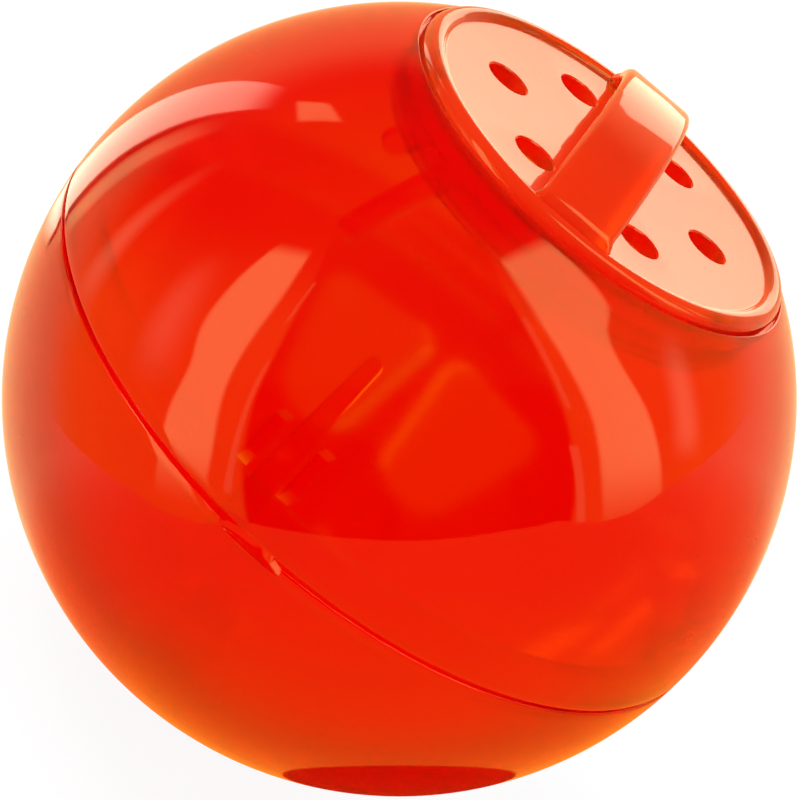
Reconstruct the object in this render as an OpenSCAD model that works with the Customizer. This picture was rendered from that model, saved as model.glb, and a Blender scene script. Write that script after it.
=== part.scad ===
// Treat dispensing ball: two half shells that pull apart, an inner shutter bowl and a vented lid with a strap grip.
// Millimetres. +Z runs up the ball's axis to the lid, the grip runs along Y, and the origin is the ball's lowest point.
// Turning the lower shell on the shutter bowl opens or closes the feed windows, which face +Y.

/* [Ball] */
// Outer diameter of the ball
ball_d = 76; // [68:1:100]
// Wall thickness of both half shells
wall = 1.8; // [1.4:0.1:2.4]

/* [Seam between the halves] */
// Height of the recessed band under the seam
band_h = 0.35; // [0.3:0.05:1.2]
// How far the band lies inside the ball's surface
band_in = 0.5; // [0.2:0.05:0.7]
// Height of the lower shell's tongue above the seam
tongue_h = 3; // [2:0.25:4]
// Thickness of the tongue
tongue_t = 1.2; // [0.9:0.1:1.5]
// Depth of the tongue's root below the seam
tongue_root_h = 2.5; // [2:0.25:3.5]
// Length of the pry notch along the seam
notch_l = 6.5; // [4:0.5:10]
// Height of the pry notch below the band
notch_h = 0.9; // [0.6:0.1:1.6]
// Depth of the pry notch into the wall
notch_in = 0.8; // [0.5:0.1:1.1]

/* [Lid] */
// Outer diameter of the lid's rim
lid_d = 41.4; // [36:0.2:46]
// Width of the rounded rim
rim_w = 2.2; // [1.6:0.1:2.6]
// Depth of the flat floor below the rim's crest
recess = 0.6; // [0.4:0.05:1]
// Height of the rim's crest over the mouth's edge
crest_h = 1.05; // [0.7:0.05:1.4]
// Thickness of the floor
floor_t = 1.5; // [1.2:0.1:1.8]
// Thickness of the plug wall under the lid
plug_t = 1.3; // [1:0.1:1.8]
// Number of vent holes
vents = 6; // [6:6:6]
// Diameter of a vent hole
vent_d = 4.2; // [3:0.2:4.6]
// Diameter of the circle that the vent holes lie on
vent_pcd = 23.8; // [22:0.2:25]

/* [Grip] */
// Width of the strap grip
grip_w = 7.6; // [6:0.2:8]
// Thickness of the strap
grip_t = 1.8; // [1.4:0.1:2.4]
// How far the strap's back stands out of the ball's surface
grip_out = 0.6; // [0.4:0.1:1.6]
// Radius of the strap's long edges
grip_edge_r = 0.8; // [0.3:0.1:0.9]
// How much wider each foot is than the strap
foot_flare = 1.2; // [0.6:0.1:1.6]

/* [Neck of the upper shell] */
// Depth of the ledge under the mouth's edge
ledge_in = 1.4; // [1:0.1:2]
// Width of the ledge that the rim rests on
ledge_w = 2.6; // [2.4:0.1:3.2]
// Height of the collar below the ledge
collar_h = 4.5; // [3:0.25:6]
// Thickness of the collar and of the web that carries it
collar_t = 1.6; // [1.2:0.1:2]

/* [Shutter] */
// Thickness of the shutter bowl and of its prongs
bowl_t = 1.5; // [1.2:0.1:1.8]
// Width of a prong at its root
prong_root_w = 3; // [2.4:0.1:4]
// Width of a prong at its tip
prong_tip_w = 1.5; // [1.2:0.1:2]
// Radius of the pivot stub at the bottom of the lower shell
stub_r = 2.5; // [2:0.25:3]
// Height of the shutter's hub along the stub
hub_h = 3.4; // [3:0.2:5]

/* [Feed windows] */
// Width of a window at its upper side
window_w = 15; // [12:0.25:15.5]
// Height of a window along the wall
window_h = 15.5; // [12:0.25:16.5]
// Radius of a window's corners
window_corner_r = 3; // [2:0.1:3.6]
// Width of the bar between the two windows at their upper sides
window_bar = 2; // [1.4:0.1:3.5]

/* [Hidden] */
$fn = 96;

// Moulded colour of every piece
plastic = [0.92, 0.16, 0.03];

// Clearances
seam_gap = 0.1;
seat_gap = 0.1;
fit_gap = 0.08;
pivot_gap = 0.05;
bowl_gap = 0.3;
lid_gap = 0.3;

// Bodies of cuts overrun what they cut by this much
over = 1;
// Solids that are fused reach into each other by this much
bite = 0.3;

// Ball
ball_r = ball_d / 2;
cavity_r = ball_r - wall;

// Mouth, ledge and collar
lid_r = lid_d / 2;
mouth_r = lid_r + lid_gap;
mouth_z = sqrt(pow(ball_r, 2) - pow(mouth_r, 2));
ledge_z = mouth_z - ledge_in;
bore_r = mouth_r - ledge_w;
collar_r = bore_r + collar_t;
collar_z = ledge_z - collar_h;
web_z = ledge_z - collar_t;
web_r = sqrt(pow(cavity_r, 2) - pow(web_z, 2)) + bite;

// Lid
crest_z = mouth_z + crest_h;
floor_z = crest_z - recess;
plug_r = bore_r - fit_gap;

// Strap grip: an arch about the ball's centre, with a foot at each end inside the rim
grip_r = ball_r + grip_out;
grip_mid_r = grip_r - grip_t / 2;
grip_round = min(grip_edge_r, 0.45 * grip_t);
foot_y = lid_r - rim_w - grip_t / 4;
foot_z = sqrt(pow(grip_mid_r, 2) - pow(foot_y, 2));
grip_half_angle = asin(foot_y / grip_mid_r);

// Ribs and pads inside the upper shell, at these angles round the axis and down from the lid's pole
gusset_turn = 60;
gusset_polar = 54;
gusset_w = 2;
gusset_t = 1.8;
// Its upper end lies inside the collar's wall
gusset_top_polar = asin((collar_r - collar_t / 2) / (cavity_r - gusset_t));
pad_turn = 47;
pad_polar_from = 36;
pad_polar_to = 42.5;
pad_w = 2.6;
pad_t = 1;

// Prongs of the shutter and the guides beside them
prong_turn = 80;
prong_polar = 61.4;
prong_root_polar = 100;
prong_r = cavity_r - fit_gap - tongue_t - bowl_gap;
guide_w = 1.2;
guide_gap = 0.35;
guide_polar_from = 76;
guide_z = tongue_h + 2 * bowl_gap;

// Shutter bowl, its hub and the stub it turns on
bowl_r = cavity_r - bowl_gap;
bowl_top_z = -tongue_root_h - 2 * bowl_gap;
hub_t = 2.4;
stub_head_out = 0.5;
stub_head_h = 1;
hub_top_z = hub_h - bowl_r;

// Windows: a pair of round-cornered wedges that narrow towards the lower pole
window_polar = 116.5;
window_turn = 86;
window_top_polar = window_polar - asin(window_h / 2 / cavity_r);
window_pitch = 2 * asin((window_w + window_bar) / 2 / (cavity_r * sin(window_top_polar)));
window_tip_w = 2 * window_corner_r + 0.15 * window_w;
shutter_window_grow = 0.2;

// Angle of the middle of the pry notch, and the radius of the cutter that scoops it out over its length
notch_turn = -95;
notch_sag = notch_in - (ball_r - sqrt(pow(ball_r, 2) - pow(notch_l / 2, 2)));
notch_r = (pow(notch_l / 2, 2) + pow(notch_sag, 2)) / (2 * notch_sag);

// Copies of a piece, half a turn apart
module half_turn_pair(turn) {
    for (k = [0, 1])
        rotate([0, 0, turn + 180 * k])
            children();
}

// A strip of a spherical wall that runs from one polar angle to another, round at its upper end
module wall_strip(outer_r, inner_r, polar_from, polar_to, width_from, width_to) {
    reach = outer_r * sin((polar_to - polar_from) / 2);
    round_x = width_from / 2 - reach;
    intersection() {
        difference() {
            sphere(r = outer_r);
            sphere(r = inner_r);
        }
        rotate([0, (polar_from + polar_to) / 2, 0])
            linear_extrude(height = 2 * outer_r) {
                polygon([
                    [round_x, width_from / 2], [round_x, -width_from / 2],
                    [reach, -width_to / 2], [reach, width_to / 2]
                ]);
                translate([round_x, 0])
                    circle(d = width_from);
            }
    }
}

// A ring with a square section
module ring(outer_r, inner_r, z_from, z_to) {
    difference() {
        translate([0, 0, z_from])
            cylinder(r = outer_r, h = z_to - z_from);
        translate([0, 0, z_from - over])
            cylinder(r = inner_r, h = z_to - z_from + 2 * over);
    }
}

// Everything above a height, as far as the ball reaches
module above(z) {
    translate([-ball_d, -ball_d, z])
        cube([2 * ball_d, 2 * ball_d, 2 * ball_d]);
}

// Everything below a height, as far as the ball reaches
module below(z) {
    translate([-ball_d, -ball_d, z - 2 * ball_d])
        cube([2 * ball_d, 2 * ball_d, 2 * ball_d]);
}

// Direction of the outward normal of the edge from p to q, as an angle
function edge_normal(p, q) = atan2(q[1] - p[1], q[0] - p[0]) - 90;

// An angle moved by whole turns until it isn't less than another one
function turned_past(angle, least) = angle < least ? turned_past(angle + 360, least) : angle;

// Outline round a ring of corner centres, given anticlockwise, with one corner radius
function rounded_outline(centres, r, steps = 6) = [
    for (i = [0 : len(centres) - 1])
        let (
            n = len(centres),
            from = edge_normal(centres[(i + n - 1) % n], centres[i]),
            to = turned_past(edge_normal(centres[i], centres[(i + 1) % n]), from)
        )
        for (k = [0 : steps])
            let (angle = from + (to - from) * k / steps)
            centres[i] + r * [cos(angle), sin(angle)]
];

// Cutters for the pair of windows, grown all round by a given amount
module windows(grow) {
    half_h = window_h / 2 - window_corner_r;
    half_w = window_w / 2 - window_corner_r;
    half_tip = window_tip_w / 2 - window_corner_r;
    centres = [[-half_h, -half_w], [half_h, -half_tip], [half_h, half_tip], [-half_h, half_w]];
    for (side = [-1, 1])
        rotate([0, 0, window_turn + side * window_pitch / 2])
            rotate([0, window_polar, 0])
                translate([0, 0, ball_r / 2])
                    linear_extrude(height = ball_r)
                        polygon(rounded_outline(centres, window_corner_r + grow));
}

// Ledge, web and collar that carry the lid
module neck() {
    intersection() {
        union() {
            ring(collar_r, bore_r, collar_z, ledge_z);
            ring(web_r, bore_r, web_z, ledge_z);
        }
        sphere(r = ball_r - bite);
    }
}

// Gusset ribs from the collar down the wall, and a round-ended pad beside each of them
module neck_ribs() {
    half_turn_pair(gusset_turn)
        intersection() {
            mirror([0, 0, 1])
                wall_strip(cavity_r + bite, cavity_r - gusset_t, 180 - gusset_polar, 180 - gusset_top_polar,
                    gusset_w, gusset_w);
            below(ledge_z - bite);
        }
    half_turn_pair(pad_turn)
        wall_strip(cavity_r + bite, cavity_r - pad_t, pad_polar_from, pad_polar_to, pad_w, pad_w);
}

// A pair of low ribs that the prong slides between
module prong_guides() {
    offset_y = prong_root_w / 2 + guide_gap;
    half_turn_pair(prong_turn)
        intersection() {
            difference() {
                sphere(r = cavity_r + bite);
                sphere(r = prong_r - bowl_t);
            }
            above(guide_z);
            below(cavity_r * cos(guide_polar_from));
            for (side = [-1, 1])
                translate([0, side * (offset_y + guide_w / 2), 0])
                    translate([0, -guide_w / 2, 0])
                        cube([ball_r, guide_w, ball_r]);
        }
}

module upper_shell() {
    color(plastic)
        translate([0, 0, ball_r])
            difference() {
                union() {
                    difference() {
                        sphere(r = ball_r);
                        sphere(r = cavity_r);
                    }
                    neck();
                    neck_ribs();
                    prong_guides();
                }
                below(0);
                // Mouth above the ledge, and the bore that the plug slides in
                translate([0, 0, ledge_z])
                    cylinder(r = mouth_r, h = ball_r);
                translate([0, 0, collar_z - over])
                    cylinder(r = bore_r, h = ball_r);
                // Straight skirt for the lower shell's tongue
                translate([0, 0, -over])
                    cylinder(r = cavity_r, h = over + tongue_h + bowl_gap);
            }
}

// Pivot stub with a snap head, standing at the bottom of the lower shell
module pivot_stub() {
    head_z = hub_top_z + bowl_gap;
    translate([0, 0, -cavity_r - bite])
        cylinder(r = stub_r, h = head_z + cavity_r + bite);
    translate([0, 0, head_z])
        cylinder(r1 = stub_r + stub_head_out, r2 = stub_r, h = stub_head_h);
}

module lower_shell() {
    color(plastic)
        translate([0, 0, ball_r]) {
            difference() {
                union() {
                    difference() {
                        union() {
                            intersection() {
                                sphere(r = ball_r);
                                below(-band_h);
                            }
                            intersection() {
                                sphere(r = ball_r - band_in);
                                below(-seam_gap);
                            }
                        }
                        sphere(r = cavity_r);
                        above(-seam_gap);
                    }
                    ring(cavity_r + bite, cavity_r - fit_gap - tongue_t, -tongue_root_h, -seam_gap);
                    ring(cavity_r - fit_gap, cavity_r - fit_gap - tongue_t, -tongue_root_h, tongue_h);
                }
                rotate([0, 0, notch_turn])
                    translate([ball_r - notch_in + notch_r, 0, -band_h - notch_h])
                        cylinder(r = notch_r, h = notch_h + band_h);
                windows(0);
            }
            pivot_stub();
        }
}

module shutter() {
    color(plastic)
        translate([0, 0, ball_r])
            difference() {
                union() {
                    difference() {
                        sphere(r = bowl_r);
                        sphere(r = bowl_r - bowl_t);
                        above(bowl_top_z);
                    }
                    // Root of each prong, against the bowl's wall
                    half_turn_pair(prong_turn)
                        intersection() {
                            wall_strip(bowl_r, prong_r - bowl_t, prong_polar, prong_root_polar,
                                prong_tip_w, prong_root_w);
                            below(bowl_top_z);
                        }
                    half_turn_pair(prong_turn)
                        wall_strip(prong_r, prong_r - bowl_t, prong_polar, prong_root_polar,
                            prong_tip_w, prong_root_w);
                    intersection() {
                        translate([0, 0, -bowl_r])
                            cylinder(r = stub_r + hub_t, h = hub_h);
                        sphere(r = bowl_r);
                    }
                }
                translate([0, 0, -ball_r])
                    cylinder(r = stub_r + pivot_gap, h = ball_r);
                windows(shutter_window_grow);
            }
}

// Section of the strap: a rectangle with round corners, its back at the outer radius
module strap_section() {
    inner = grip_r - grip_t;
    half = grip_w / 2 - grip_round;
    translate([inner + grip_round, -grip_w / 2])
        square([grip_t - 2 * grip_round, grip_w]);
    translate([inner, -half])
        square([grip_t, 2 * half]);
    for (x = [inner + grip_round, grip_r - grip_round])
        for (y = [-half, half])
            translate([x, y])
                circle(r = grip_round);
}

// Foot of the strap: a rounded top, an upright and a wider base beside the rim
module grip_foot() {
    translate([0, foot_y, foot_z])
        rotate([0, 90, 0])
            cylinder(d = grip_t, h = grip_w, center = true);
    translate([-grip_w / 2, foot_y - grip_t / 2, floor_z - bite])
        cube([grip_w, grip_t, foot_z - floor_z + bite]);
    intersection() {
        translate([-(grip_w + foot_flare) / 2, foot_y - grip_t / 2, floor_z - bite])
            cube([grip_w + foot_flare, grip_t + rim_w / 2, crest_z - floor_z + bite / 2]);
        cylinder(r = lid_r - rim_w / 2, h = ball_d);
    }
}

module grip() {
    rotate([90, 0, 90])
        rotate([0, 0, 90 - grip_half_angle])
            rotate_extrude(angle = 2 * grip_half_angle)
                strap_section();
    for (side = [0, 1])
        mirror([0, side, 0])
            grip_foot();
}

module lid() {
    color(plastic)
        translate([0, 0, ball_r])
            difference() {
                union() {
                    // Floor
                    translate([0, 0, floor_z - floor_t])
                        cylinder(r = lid_r - rim_w / 2, h = floor_t);
                    // Rim, with a round crest
                    ring(lid_r, lid_r - rim_w, ledge_z + seat_gap, crest_z - rim_w / 2);
                    rotate_extrude()
                        translate([lid_r - rim_w / 2, crest_z - rim_w / 2])
                            circle(d = rim_w);
                    // Plug
                    ring(plug_r, plug_r - plug_t, collar_z, floor_z - floor_t / 2);
                    grip();
                }
                for (k = [0 : vents - 1])
                    rotate([0, 0, k * 360 / vents])
                        translate([vent_pcd / 2, 0, floor_z - floor_t - over])
                            cylinder(d = vent_d, h = floor_t + 2 * over);
            }
}

upper_shell();
lower_shell();
shutter();
lid();
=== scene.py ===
# Treat dispensing ball: the looks of its four mouldings, and a small studio round them.
# Lengths are in metres and heights are measured from the ball's centre, unless a comment says otherwise.

import math
from types import SimpleNamespace

import bpy
from bpy.props import FloatProperty, FloatVectorProperty, PointerProperty
from bpy.types import Operator, Panel, PropertyGroup
from mathutils import Euler, Matrix, Vector


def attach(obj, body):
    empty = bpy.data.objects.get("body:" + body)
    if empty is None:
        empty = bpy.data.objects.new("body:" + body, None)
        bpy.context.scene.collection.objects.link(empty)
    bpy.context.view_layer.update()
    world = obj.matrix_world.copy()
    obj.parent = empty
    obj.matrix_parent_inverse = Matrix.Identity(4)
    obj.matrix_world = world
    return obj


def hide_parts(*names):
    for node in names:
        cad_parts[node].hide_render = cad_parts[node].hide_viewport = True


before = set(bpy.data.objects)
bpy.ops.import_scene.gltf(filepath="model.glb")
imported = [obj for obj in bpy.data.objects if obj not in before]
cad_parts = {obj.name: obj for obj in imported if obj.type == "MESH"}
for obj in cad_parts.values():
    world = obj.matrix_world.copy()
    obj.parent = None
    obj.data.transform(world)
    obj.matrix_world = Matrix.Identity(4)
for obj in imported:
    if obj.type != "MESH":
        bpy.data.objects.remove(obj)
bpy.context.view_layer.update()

bl_info = {
    "name": "Treat Dispensing Ball",
    "version": (1, 0, 0),
    "blender": (4, 5, 0),
    "location": "3D View > Sidebar > Treat Ball",
    "description": "Models a translucent treat dispensing ball: half shells, shutter bowl and lid",
    "category": "Add Mesh",
}

MM = 0.001

# Steps round the ball's axis, and degrees of arc in one step of an outline and of the lid's rim
TURN_STEPS = 240
ARC_STEP = math.radians(1.5)
RIM_STEP = math.radians(12)
# Steps of a rounded corner, of a rib's round end, of half the strap's arch and of its bend into a foot
CORNER_STEPS = 4
RIB_END_STEPS = 8
ARCH_STEPS = 24
BEND_STEPS = 6
# Radii of rounded edges, from the soft corners inside the neck to the crisp edges at the seam
NECK_ROUND = 0.5 * MM
BOWL_ROUND = 0.35 * MM
EDGE_ROUND = 0.3 * MM
THIN_WALL_ROUND = 0.25 * MM
PLUG_ROUND = 0.2 * MM
SEAM_ROUND = 0.12 * MM
# Radius at the middle of the strap where it bends into a foot, and the flare at the top of a vent hole
FOOT_BEND_R = 1.05 * MM
VENT_FLARE = 0.15 * MM
VENTS = 6
# Share of a window's width that is straight at its lower side
WINDOW_TIP_SHARE = 0.15
# Faces that meet at more than this stay a crisp edge
CRISP_ANGLE = math.radians(32)
# Cutters overrun what they cut by this much, and solids that are fused reach into each other by BITE
OVER = 1 * MM
BITE = 0.3 * MM
# Two points closer than this are the same point
SAME = 0.001 * MM


def length(name, millimetres, description):
    """A length that the user can change, given in millimetres."""
    return FloatProperty(name=name, description=description, default=millimetres * MM, min=0,
                         unit="LENGTH", subtype="DISTANCE", precision=5)


def angle(name, degrees, description):
    """An angle that the user can change, given in degrees."""
    return FloatProperty(name=name, description=description, default=math.radians(degrees),
                         unit="ROTATION", subtype="ANGLE")


def linear(hex_colour):
    """A colour written as sRGB hex, as the linear colour that Blender works in."""
    channels = [int(hex_colour[i:i + 2], 16) / 255 for i in (1, 3, 5)]
    return [c / 12.92 if c <= 0.04045 else ((c + 0.055) / 1.055) ** 2.4 for c in channels]


def colour(name, hex_colour, description):
    """A colour that the user can change, given as sRGB hex."""
    return FloatVectorProperty(name=name, description=description, default=linear(hex_colour),
                               subtype="COLOR", min=0, max=1)


class BallSizes(PropertyGroup):
    """Sizes of the half shells."""
    ball_d: length("Ball diameter", 76, "Outer diameter of the ball")
    wall: length("Wall", 1.8, "Wall thickness of both half shells")
    band_h: length("Band height", 0.35, "Height of the recessed band under the seam")
    band_in: length("Band depth", 0.5, "How far the band lies inside the ball's surface")
    seam_gap: length("Seam gap", 0.1, "Gap between the half shells at the seam")
    tongue_h: length("Tongue height", 3, "Height of the lower shell's tongue above the seam")
    tongue_t: length("Tongue thickness", 1.2, "Thickness of the tongue")
    tongue_root_h: length("Tongue root", 2.5, "Depth of the tongue's root below the seam")
    fit_gap: length("Running gap", 0.08, "Radial gap of the tongue and of the plug")
    notch_l: length("Notch length", 6.5, "Length of the pry notch along the seam")
    notch_h: length("Notch height", 0.9, "Height of the pry notch below the band")
    notch_in: length("Notch depth", 0.8, "Depth of the pry notch into the wall")
    notch_turn: angle("Notch angle", -95, "Place of the pry notch round the axis")
    window_w: length("Window width", 15, "Width of a feed window at its upper side")
    window_h: length("Window height", 15.5, "Height of a feed window along the wall")
    window_corner_r: length("Window corner", 3, "Radius of a window's corners")
    window_bar: length("Window bar", 2, "Width of the bar between the windows")
    window_polar: angle("Window polar angle", 116.5, "Place of the windows, down from the lid's pole")
    window_turn: angle("Window turn", 86, "Place of the windows round the axis")


class NeckSizes(PropertyGroup):
    """Sizes of the neck and the ribs inside the upper shell."""
    ledge_in: length("Ledge depth", 1.4, "Depth of the ledge under the mouth's edge")
    ledge_w: length("Ledge width", 2.6, "Width of the ledge that the rim rests on")
    collar_h: length("Collar height", 4.5, "Height of the collar below the ledge")
    collar_t: length("Collar thickness", 1.6, "Thickness of the collar and its web")
    gusset_t: length("Gusset depth", 1.8, "How far a gusset stands in from the wall")
    gusset_w: length("Gusset width", 2, "Width of a gusset")
    gusset_turn: angle("Gusset turn", 60, "Place of a gusset round the axis")
    gusset_polar: angle("Gusset end", 54, "Lower end of a gusset, down from the lid's pole")
    pad_t: length("Pad depth", 1, "How far a pad stands in from the wall")
    pad_w: length("Pad width", 2.6, "Width of a pad")
    pad_turn: angle("Pad turn", 47, "Place of a pad round the axis")
    pad_polar_from: angle("Pad start", 36, "Upper end of a pad, down from the lid's pole")
    pad_polar_to: angle("Pad end", 42.5, "Lower end of a pad, down from the lid's pole")
    guide_w: length("Guide width", 1.2, "Width of a rib beside a prong")
    guide_gap: length("Guide gap", 0.35, "Gap between a prong and its guides")
    guide_polar: angle("Guide start", 76, "Upper end of the guides, down from the lid's pole")


class LidSizes(PropertyGroup):
    """Sizes of the lid and its strap grip."""
    lid_d: length("Lid diameter", 41.4, "Outer diameter of the lid's rim")
    lid_gap: length("Lid gap", 0.3, "Gap between the rim and the mouth's edge")
    seat_gap: length("Seat gap", 0.1, "Gap between the rim and its ledge")
    rim_w: length("Rim width", 2.2, "Width of the rounded rim")
    recess: length("Recess", 0.6, "Depth of the floor below the rim's crest")
    crest_h: length("Crest height", 1.05, "Height of the rim's crest over the mouth's edge")
    floor_t: length("Floor", 1.5, "Thickness of the lid's floor")
    plug_t: length("Plug", 1.3, "Thickness of the plug wall under the lid")
    vent_d: length("Vent diameter", 4.2, "Diameter of a vent hole")
    vent_pcd: length("Vent circle", 23.8, "Diameter of the circle that the vents lie on")
    grip_w: length("Grip width", 7.6, "Width of the strap grip")
    grip_t: length("Grip thickness", 1.8, "Thickness of the strap")
    grip_out: length("Grip height", 0.6, "How far the strap stands out of the ball's surface")
    grip_edge_r: length("Grip edge", 0.8, "Radius of the strap's long edges")
    foot_flare: length("Foot flare", 1.2, "How much wider each foot is than the strap")


class ShutterSizes(PropertyGroup):
    """Sizes of the shutter bowl, its prongs and its pivot."""
    bowl_gap: length("Bowl gap", 0.3, "Gap between the bowl and the lower shell")
    bowl_t: length("Bowl thickness", 1.5, "Thickness of the bowl and its prongs")
    stub_r: length("Stub radius", 2.5, "Radius of the pivot stub")
    stub_head_out: length("Stub head", 0.5, "How far the stub's snap head stands out")
    stub_head_h: length("Stub head height", 1, "Height of the stub's snap head")
    pivot_gap: length("Pivot gap", 0.05, "Radial gap between the stub and its bore")
    hub_h: length("Hub height", 3.4, "Height of the hub along the stub")
    hub_t: length("Hub thickness", 2.4, "Thickness of the hub's wall")
    prong_root_w: length("Prong root", 3, "Width of a prong at its root")
    prong_tip_w: length("Prong tip", 1.5, "Width of a prong at its tip")
    prong_turn: angle("Prong turn", 80, "Place of a prong round the axis")
    prong_polar: angle("Prong tip angle", 61.4, "Tip of a prong, down from the lid's pole")
    prong_root_polar: angle("Prong root angle", 100, "Root of a prong, down from the lid's pole")
    window_grow: length("Window growth", 0.2, "How much larger the bowl's windows are than the shell's")


class Looks(PropertyGroup):
    """Colours of the plastic and of the studio."""
    plastic: colour("Plastic", "#FF8614", "What light keeps on its way through one wall")
    floor: colour("Floor", "#FFFFFF", "Colour of the studio floor")
    red_shade: colour("Red shade", "#F3461A", "Colour of the table in the ball's red shade, seen through it")
    walls: colour("Walls", "#FFAA34", "Colour of the walls beside the ball, as its surface mirrors them")
    backdrop: colour("Backdrop", "#FFA060", "Colour of the backdrop high up, as the ball mirrors it")
    horizon: colour("Horizon", "#FFBE84", "Colour of the backdrop low down, as the ball mirrors it")
    ceiling: colour("Ceiling", "#AA2008", "Colour of the dark ceiling, as the ball's surface mirrors it")


def measures():
    """Every size of the four pieces, with those that follow from the panel's values."""
    scene = bpy.context.scene
    groups = (scene.treat_ball, scene.treat_ball_neck, scene.treat_ball_lid, scene.treat_ball_shutter)
    m = SimpleNamespace(**{key: getattr(group, key) for group in groups for key in group.__annotations__})
    m.ball_r = m.ball_d / 2
    m.cavity_r = m.ball_r - m.wall
    m.centre = Vector((0, 0, m.ball_r))

    m.lid_r = m.lid_d / 2
    m.mouth_r = m.lid_r + m.lid_gap
    m.mouth_z = on_ball(m.ball_r, m.mouth_r)
    m.ledge_z = m.mouth_z - m.ledge_in
    m.bore_r = m.mouth_r - m.ledge_w
    m.collar_r = m.bore_r + m.collar_t
    m.collar_z = m.ledge_z - m.collar_h
    m.web_z = m.ledge_z - m.collar_t

    m.crest_z = m.mouth_z + m.crest_h
    m.floor_z = m.crest_z - m.recess
    m.plug_r = m.bore_r - m.fit_gap
    m.grip_r = m.ball_r + m.grip_out
    m.grip_mid_r = m.grip_r - m.grip_t / 2

    m.bowl_r = m.cavity_r - m.bowl_gap
    m.bowl_top_z = -m.tongue_root_h - 2 * m.bowl_gap
    m.hub_top_z = m.hub_h - m.bowl_r
    m.prong_r = m.cavity_r - m.fit_gap - m.tongue_t - m.bowl_gap

    # The notch is scooped out by a cylinder that meets the ball's surface at both ends of the notch
    notch_sag = m.notch_in - (m.ball_r - on_ball(m.ball_r, m.notch_l / 2))
    m.notch_r = ((m.notch_l / 2) ** 2 + notch_sag ** 2) / (2 * notch_sag)

    m.window_tip_w = 2 * m.window_corner_r + WINDOW_TIP_SHARE * m.window_w
    window_top_polar = m.window_polar - math.asin(m.window_h / 2 / m.cavity_r)
    window_row_r = m.cavity_r * math.sin(window_top_polar)
    m.window_pitch = 2 * math.asin((m.window_w + m.window_bar) / 2 / window_row_r)
    return m


def on_ball(radius, other):
    """Height at a distance from the axis, or the other way round, on a sphere about the ball's centre."""
    return math.sqrt(radius ** 2 - other ** 2)


def deselect_all():
    """Object mode, with nothing selected."""
    if bpy.context.mode != "OBJECT":
        bpy.ops.object.mode_set(mode="OBJECT")
    bpy.ops.object.select_all(action="DESELECT")


def pick(obj):
    """Makes obj the only selected object."""
    deselect_all()
    obj.select_set(True)
    bpy.context.view_layer.objects.active = obj


def start_mesh(name, add_primitive, **settings):
    """A new primitive under this name, alone selected and open in edit mode."""
    deselect_all()
    add_primitive(**settings)
    obj = bpy.context.object
    obj.name = name
    bpy.ops.object.mode_set(mode="EDIT")
    bpy.ops.mesh.select_mode(type="VERT")
    return obj


def extrude(x, y, z):
    """Extrudes what is selected by this step."""
    bpy.ops.mesh.extrude_region_move(TRANSFORM_OT_translate={"value": (x, y, z)})


def merge_all():
    """Merges points that lie on each other, with everything selected."""
    bpy.ops.mesh.select_all(action="SELECT")
    bpy.ops.mesh.remove_doubles(threshold=SAME)


def select_vertices(obj, test):
    """In edit mode, selects the vertices whose place in the scene passes the test."""
    bpy.ops.mesh.select_all(action="DESELECT")
    bpy.ops.object.mode_set(mode="OBJECT")
    for vertex in obj.data.vertices:
        vertex.select = test(obj.matrix_world @ vertex.co)
    bpy.ops.object.mode_set(mode="EDIT")


class Outline:
    """A closed section in the plane y = 0, drawn in edit mode by points (r, z) about the ball's centre."""

    def __init__(self, name, r, z):
        self.centre = measures().centre
        self.start = (r, z)
        self.pen = (r, z)
        self.obj = start_mesh(name, bpy.ops.mesh.primitive_plane_add, size=MM, location=self.place(r, z))
        bpy.ops.mesh.merge(type="CENTER")

    def place(self, r, z):
        """The point (r, z) in the scene."""
        return self.centre + Vector((r, 0, z))

    def line(self, *points):
        """Straight edges to each point in turn."""
        for r, z in points:
            extrude(r - self.pen[0], 0, z - self.pen[1])
            self.pen = (r, z)

    def arc(self, r, z, about=(0, 0), step=ARC_STEP):
        """An arc about a point, the shorter way, until it lies in the direction of (r, z)."""
        turn_from = math.atan2(self.pen[1] - about[1], self.pen[0] - about[0])
        turn_to = math.atan2(z - about[1], r - about[0])
        turn = (turn_to - turn_from + math.pi) % math.tau - math.pi
        bpy.ops.mesh.spin(steps=max(2, round(abs(turn) / step)), angle=turn,
                          center=self.place(*about), axis=(0, 1, 0))
        self.pen = (r, z)

    def close(self):
        """Back to the first point."""
        self.line(self.start)
        merge_all()

    def round_off(self, radius, *points):
        """Rounds the corners at the points."""
        corners = [self.place(r, z) for r, z in points]
        select_vertices(self.obj, lambda p: any((p - corner).length < 10 * SAME for corner in corners))
        bpy.ops.mesh.bevel(affect="VERTICES", offset=radius, segments=CORNER_STEPS)

    def revolve(self):
        """A full turn about the ball's axis, as a closed solid."""
        bpy.ops.mesh.select_all(action="SELECT")
        bpy.ops.mesh.spin(steps=TURN_STEPS, angle=math.tau, center=self.centre, axis=(0, 0, 1))
        close_up(self.obj)
        return self.obj


def close_up(obj):
    """Merges doubles, turns the faces outwards and puts the object's place into its mesh."""
    merge_all()
    bpy.ops.mesh.select_all(action="DESELECT")
    bpy.ops.mesh.select_interior_faces()
    bpy.ops.mesh.delete(type="FACE")
    bpy.ops.mesh.select_all(action="SELECT")
    bpy.ops.mesh.normals_make_consistent(inside=False)
    bpy.ops.object.mode_set(mode="OBJECT")
    pick(obj)
    bpy.ops.object.transform_apply(location=True, rotation=True, scale=True)


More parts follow.
